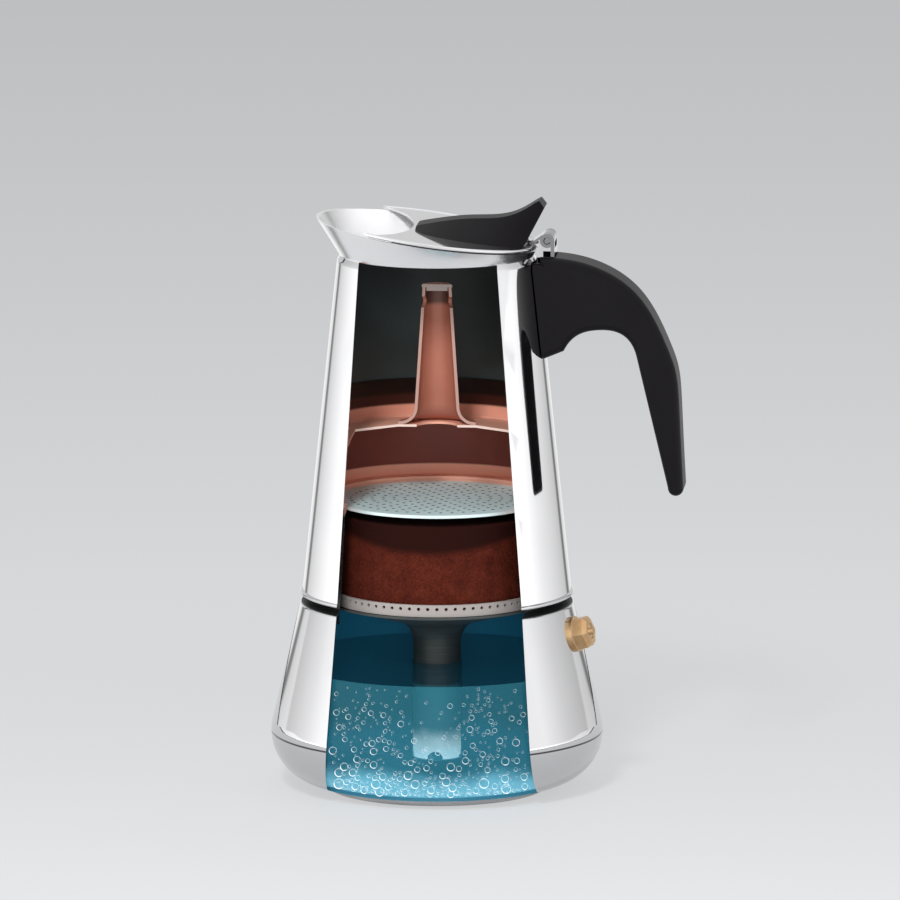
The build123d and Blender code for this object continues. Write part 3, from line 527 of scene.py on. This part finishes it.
def bubble_skin():
    """Thin skin of a bubble: clear in its middle, with a painted white highlight on its rim that glows,
    brightest below and to the left.
    """
    lit_from = (-0.5, 0.0, -0.85)
    sockets = {"Base Color": grey(1.0), "Roughness": 0.12, "Emission Color": rgb(0.92, 1.0, 1.0)}
    finish = Finish("bubble_skin", sockets)
    layer = finish.nodes.new("ShaderNodeLayerWeight")
    layer.inputs["Blend"].default_value = 0.5
    rim = finish.step(layer.outputs["Facing"], 0.36, 0.68)
    # Painted highlight: brighter and glowing below and to the left
    lit = finish.step(finish.vector("DOT_PRODUCT", finish.normal, lit_from), -0.4, 0.7)
    finish.set("Alpha", finish.both(rim, finish.scale(lit, 0.4, 1.0)))
    finish.set("Emission Strength", finish.scale(lit, 0.15, 0.85))
    return finish.material


# Light, shade and reflection painted inside the shells, at heights in metres
# Painted light inside the boiler: blue, lighter towards the bottom
boiler_inside_painted_light = [
    (0.0, rgb(0.10, 0.33, 0.42)),
    (0.045, rgb(0.022, 0.22, 0.36)),
    (0.065, rgb(0.018, 0.175, 0.275)),
]
# Painted shade inside the upper vessel, darker towards the top
vessel_inside_painted_shade = [
    (0.125, rgb(0.056, 0.080, 0.080)),
    (0.150, rgb(0.026, 0.037, 0.037)),
    (0.172, rgb(0.009, 0.011, 0.012)),
]
# Painted reflection of the white surroundings inside the collar's mouth
collar_inside_painted_reflection = [
    (0.170, rgb(0.90, 0.90, 0.91)),
    (0.180, rgb(0.96, 0.96, 0.97)),
    (0.190, rgb(0.98, 0.98, 0.99)),
]

plain = brushed_steel(
    "plain_steel",
    metallic=1.0,
    dark=rgb(0.36, 0.36, 0.37),
    light=rgb(0.58, 0.58, 0.59),
    smooth=0.16,
    rough=0.34,
    relief=0.6,
)
# Steel painted dark as shade, for the neck and thread ring in the joint and at the window's cut edges
shaded = brushed_steel(
    "shaded_steel",
    metallic=0.6,
    dark=rgb(0.075, 0.077, 0.080),
    light=rgb(0.115, 0.117, 0.120),
    smooth=0.42,
    rough=0.56,
    relief=0.5,
)
hinge = polished_steel("hinge_steel", dullness=0.06, tone=0.17)
brass = valve_brass()
finishes = {
    "boiler_shell": polished_steel(
        "boiler_steel", inside_light_and_shade=boiler_inside_painted_light, painted_shade_above=top_of_boiler - hairline, crease=belly_crease
    ),
    "vessel_shell": polished_steel("vessel_steel", inside_light_and_shade=vessel_inside_painted_shade),
    "spout_collar": polished_steel(
        "collar_steel", dullness=0.17, tone=0.90, inside_light_and_shade=collar_inside_painted_reflection, inside_painted_from=mouth_painted_from
    ),
    "lid_plate": polished_steel("polished_steel"),
    "boiler_neck": shaded,
    "thread_ring": shaded,
    "hinge_bracket": hinge,
    "lid_hinge_leaf": hinge,
    "hinge_pin": hinge,
    "filter_plate": sieve_steel("filter_steel", rgb(0.66, 0.89, 0.92), rgb(0.72, 0.86, 0.86), filter_radius),
    "funnel_sieve": sieve_steel("sieve_steel", rgb(0.36, 0.34, 0.32), rgb(0.40, 0.365, 0.345), sieve_radius),
    "funnel": funnel_steel(),
    "collector": copper_tone(
        "collector_copper", rgb(0.84, 0.40, 0.29), rgb(0.95, 0.48, 0.35), rgb(0.86, 0.66, 0.58)
    ),
    "column": copper_tone(
        "column_copper", rgb(0.37, 0.130, 0.085), rgb(0.47, 0.170, 0.112), rgb(0.52, 0.31, 0.26)
    ),
    "column_cap": copper_tone(
        "cap_copper", rgb(0.34, 0.135, 0.095), rgb(0.44, 0.180, 0.130), rgb(0.40, 0.33, 0.30)
    ),
    "handle": black_nylon("handle_nylon", 0.11),
    "lid_grip": black_nylon("grip_nylon", 0.07),
    "valve_body": brass,
    "valve_nut": brass,
    "valve_cap": brass,
    "valve_plunger": brass,
    "valve_washer": brass,
    "gasket": seal_rubber(),
    "coffee_bed": ground_coffee(),
    "water_fill": clear_water(),
}

# Every other piece is of plain steel, and the valve stays out of the steel's mirror images
for node_name, node in nodes.items():
    node.data.materials.clear()
    node.data.materials.append(finishes.get(node_name, plain))
    node.visible_glossy = not node_name.startswith("valve_")


# Bubbles in the water's face, in two plumes that widen and thicken towards the bottom
bubble_seed = 7
bubble_count = 470
bubble_radius = (0.00028, 0.0019)
bubble_sink = 0.35
bubble_crowding = 2.7
bubble_smallness = 2.4
bubble_shrink = 0.7
bubble_floor_gap = 0.002
bubble_top_gap = 0.001
plume_columns = (-0.019, 0.020)
plume_spread = (0.006, 0.019)
window_reach = (-0.031, 0.034)


def rising_bubble(chance):
    """Side place, height share and radius of one bubble."""
    share = chance.random() ** bubble_crowding
    spread = plume_spread[1] + (plume_spread[0] - plume_spread[1]) * share
    side = chance.choice(plume_columns) + chance.gauss(0.0, spread)
    size = chance.random() ** bubble_smallness * (1.0 - bubble_shrink * share)
    return side, share, bubble_radius[0] + (bubble_radius[1] - bubble_radius[0]) * size


def water_bubbles():
    """One mesh of small spheres that lie in the face of the water, seen through the window."""
    chance = Random(bubble_seed)
    water = nodes["water_fill"]
    lowest = floor_of_water + bubble_floor_gap
    highest = top_of_water - bubble_top_gap
    mesh = bmesh.new()
    placed = []
    while len(placed) < bubble_count:
        side, share, radius = rising_bubble(chance)
        if not window_reach[0] < side < window_reach[1]:
            continue
        height = lowest + share * (highest - lowest)
        hit, point, normal, _ = water.ray_cast(Vector((side, -1.0, height)), Vector((0.0, 1.0, 0.0)))
        if not hit:
            continue
        centre = point - normal * radius * bubble_sink
        if any((centre - other).length < radius + size for other, size in placed):
            continue
        placed.append((centre, radius))
        bmesh.ops.create_icosphere(mesh, subdivisions=2, radius=radius, matrix=Matrix.Translation(centre))
    for face in mesh.faces:
        face.smooth = True
    data = bpy.data.meshes.new("water_bubbles")
    mesh.to_mesh(data)
    mesh.free()
    piece = bpy.data.objects.new("water_bubbles", data)
    scene.collection.objects.link(piece)
    data.materials.append(bubble_skin())
    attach(piece, "boiler")


water_bubbles()

# Pale floor: its size, its colour near the pot and far off, and how much of it glows by itself
floor_radius = 400.0
floor_sides = 96
floor_drop = 0.0002
floor_near = rgb(0.935, 0.945, 0.960)
floor_far = rgb(0.285, 0.290, 0.296)
floor_shade = 0.90
floor_glow = 0.68
shadow_reach = (0.10, 0.40)
pool_reach = 1.5
pool_centre = front * 0.6

# What the steel mirrors: the floor by its distance from the axis, then a dark edge, then a light tent
mirrored_floor = [(0.058, 0.82), (0.075, 0.86), (0.110, 0.92), (0.170, 1.02), (0.345, 1.12)]
tent_edge = (0.345, 0.385)
tent_edge_fades = (0.003, 0.010)
tent_dark = rgb(0.03, 0.03, 0.032)
tent_levels = [(0.0, 0.9), (0.25, 1.35), (0.45, 1.5), (0.58, 1.08), (0.72, 0.78)]
thin_seam = [(0.797, 0.66), (0.801, 0.03), (0.818, 0.03), (0.822, 0.74), (1.0, 0.80)]
soft_seam = [(0.790, 0.62), (0.812, 0.20), (0.832, 0.20), (0.856, 0.70), (1.0, 0.85)]
tent_mean = 0.95
tent_lean = 0.11
low_tent_gain = 1.38
tent_roof = grey(1.3)
roof_from = (0.6, 0.9)

# The backdrop's colour high up, the light from all round, and the point that the soft lights aim at
sky_top = rgb(0.48, 0.485, 0.495)
sky_light = rgb(0.62, 0.62, 0.63)
light_aim = Vector((0.0, 0.0, 0.1))


def tent_cloth(tree, seam, gain=1.0):
    """Brightness of the tent from its front, at 0, to its back, at 1, with a seam on each side."""
    sideways = tree.vector("DOT_PRODUCT", tree.place, right)
    forwards = tree.vector("DOT_PRODUCT", tree.place, front)
    turn = tree.math("ARCTAN2", sideways, forwards)
    share = tree.math("DIVIDE", tree.math("ABSOLUTE", turn), pi)
    lean = tree.math("SUBTRACT", tent_mean, tree.math("MULTIPLY", tree.math("SINE", turn), tent_lean))
    cloth = tree.levels(share, tent_levels + seam)
    return tree.vector("MULTIPLY", cloth, tree.math("MULTIPLY", lean, gain))


def floor_finish():
    """Pale floor that takes shadows near the pot and glows evenly far off; the steel mirrors a tent on it."""
    finish = Finish("studio_floor", {"Roughness": 0.9, "Specular IOR Level": 0.0, "Emission Strength": 1.0})
    black = grey(0.0)
    distance = finish.radius()
    pool = finish.vector("LENGTH", finish.vector("SUBTRACT", finish.place, pool_centre))
    away = finish.math("DIVIDE", pool, finish.math("ADD", pool, pool_reach))
    far = finish.scale(finish.step(distance, *shadow_reach), floor_glow, 1.0)

    mirrored = finish.output("ShaderNodeLightPath", "Is Glossy Ray")
    edge = finish.step(distance, tent_edge[0] - tent_edge_fades[0], tent_edge[0])
    tent = finish.both(mirrored, edge)
    hung = finish.step(distance, tent_edge[1], tent_edge[1] + tent_edge_fades[1])
    fabric = finish.mix(hung, tent_dark, tent_cloth(finish, soft_seam, low_tent_gain))

    lit = finish.mix(away, shade(floor_near, floor_shade), shade(floor_far, floor_shade))
    finish.set("Base Color", finish.mix(finish.math("MAXIMUM", far, tent), lit, black))
    glow = finish.mix(far, black, finish.mix(away, floor_near, floor_far))
    banded = finish.mix(mirrored, grey(1.0), finish.levels(distance, mirrored_floor))
    glow = finish.vector("MULTIPLY", glow, banded)
    finish.set("Emission Color", finish.mix(tent, glow, fabric))
    return finish.material


def studio_floor():
    """The floor that the pot stands on, a disc out to the horizon."""
    mesh = bmesh.new()
    bmesh.ops.create_circle(mesh, cap_ends=True, segments=floor_sides, radius=floor_radius)
    data = bpy.data.meshes.new("studio_floor")
    mesh.to_mesh(data)
    mesh.free()
    floor = bpy.data.objects.new("studio_floor", data)
    floor.location.z = cad_box[0][2] - floor_drop
    scene.collection.objects.link(floor)
    data.materials.append(floor_finish())


def studio_world():
    """Even light all round; the steel mirrors a white tent with a dark seam on each side."""
    world = bpy.data.worlds.new("studio_world")
    world.use_nodes = True
    scene.world = world
    sky = Nodes(world.node_tree, "Generated")
    height = sky.split(sky.place)[2]
    mirrored = sky.mix(sky.step(height, *roof_from), tent_cloth(sky, thin_seam), tent_roof)
    backdrop = sky.mix(sky.step(height, 0.0, roof_from[0]), floor_far, sky_top)
    light = sky.mix(sky.output("ShaderNodeLightPath", "Is Glossy Ray"), sky_light, mirrored)
    colour = sky.mix(sky.output("ShaderNodeLightPath", "Is Camera Ray"), light, backdrop)
    sky.feed(sky.nodes["Background"].inputs["Color"], colour)


def softbox(name, place, size, power):
    """A square soft light aimed at the pot's middle, kept out of the steel's reflections."""
    light = bpy.data.lights.new(name, "AREA")
    light.size = size
    light.energy = power
    lamp = bpy.data.objects.new(name, light)
    lamp.location = place
    lamp.rotation_euler = (light_aim - lamp.location).to_track_quat("-Z", "Y").to_euler()
    lamp.visible_glossy = False
    scene.collection.objects.link(lamp)


def photo_camera():
    """The camera, set so that the pot's axis and base fall where the photograph has them."""
    data = bpy.data.cameras.new("photo_camera")
    data.lens = camera_lens
    data.sensor_width = camera_sensor
    camera = bpy.data.objects.new("photo_camera", data)
    middle = photo_size / 2
    target = right * ((middle - axis_column) / pixels_per_metre)
    target.z = (base_row - middle) / pixels_per_metre / cos(camera_elevation)
    distance = photo_size / pixels_per_metre * camera_lens / camera_sensor
    towards = front * cos(camera_elevation) + Vector((0.0, 0.0, sin(camera_elevation)))
    camera.location = target + towards * distance
    camera.rotation_euler = (-towards).to_track_quat("-Z", "Y").to_euler()
    scene.collection.objects.link(camera)
    scene.camera = camera


studio_floor()
studio_world()
softbox("key_light", Vector((-0.15, -1.09, 0.98)), size=0.22, power=12.0)
softbox("fill_light", front * 1.4 + Vector((0.0, 0.0, 0.10)), size=0.4, power=3.0)
softbox("top_light", Vector((0.2, 0.3, 1.3)), size=0.9, power=1.0)
photo_camera()
